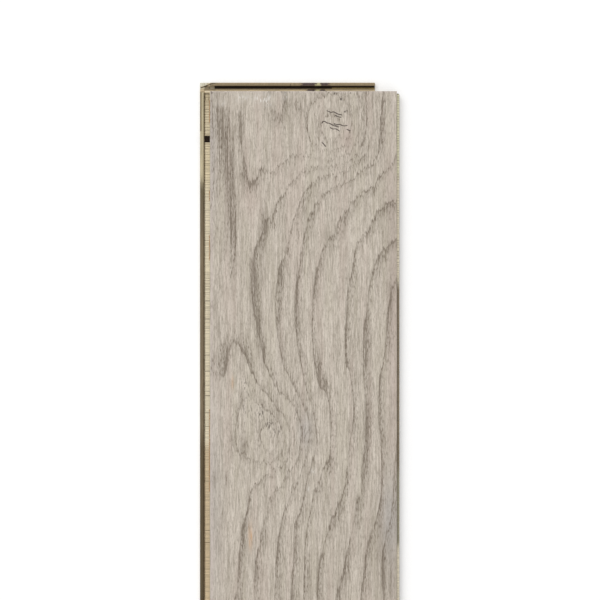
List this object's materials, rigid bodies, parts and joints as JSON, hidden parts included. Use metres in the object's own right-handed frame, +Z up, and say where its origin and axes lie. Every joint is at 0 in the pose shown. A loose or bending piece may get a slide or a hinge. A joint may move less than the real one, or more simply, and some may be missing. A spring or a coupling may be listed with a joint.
{
  "type": "engineered hardwood floorboard",
  "caption": "Engineered oak floorboard: pale brushed face with bevelled edges on a cross-laminated plywood core, click-lock lips and tongues on its sides and ends.",
  "frame": {"origin": "on the underside, at the middle of the whole board, lips and tongues included", "axes": "+Z up through the oak face, +Y along the grain to the end with the lip, +X to the tongue side"},
  "size_m": [0.2034, 1.912, 0.014],
  "materials": {
    "oak_face": "matte",
    "cross_veneer": "matte",
    "long_veneer": "matte",
    "backing_veneer": "matte"
  },
  "bodies": {
    "root": {"oak_wear_layer": "oak_face", "cross_ply_1": "cross_veneer", "long_ply_2": "long_veneer", "cross_ply_3": "cross_veneer", "long_ply_4": "long_veneer", "cross_ply_5": "cross_veneer", "backing_ply": "backing_veneer"}
  },
  "joints": []
}
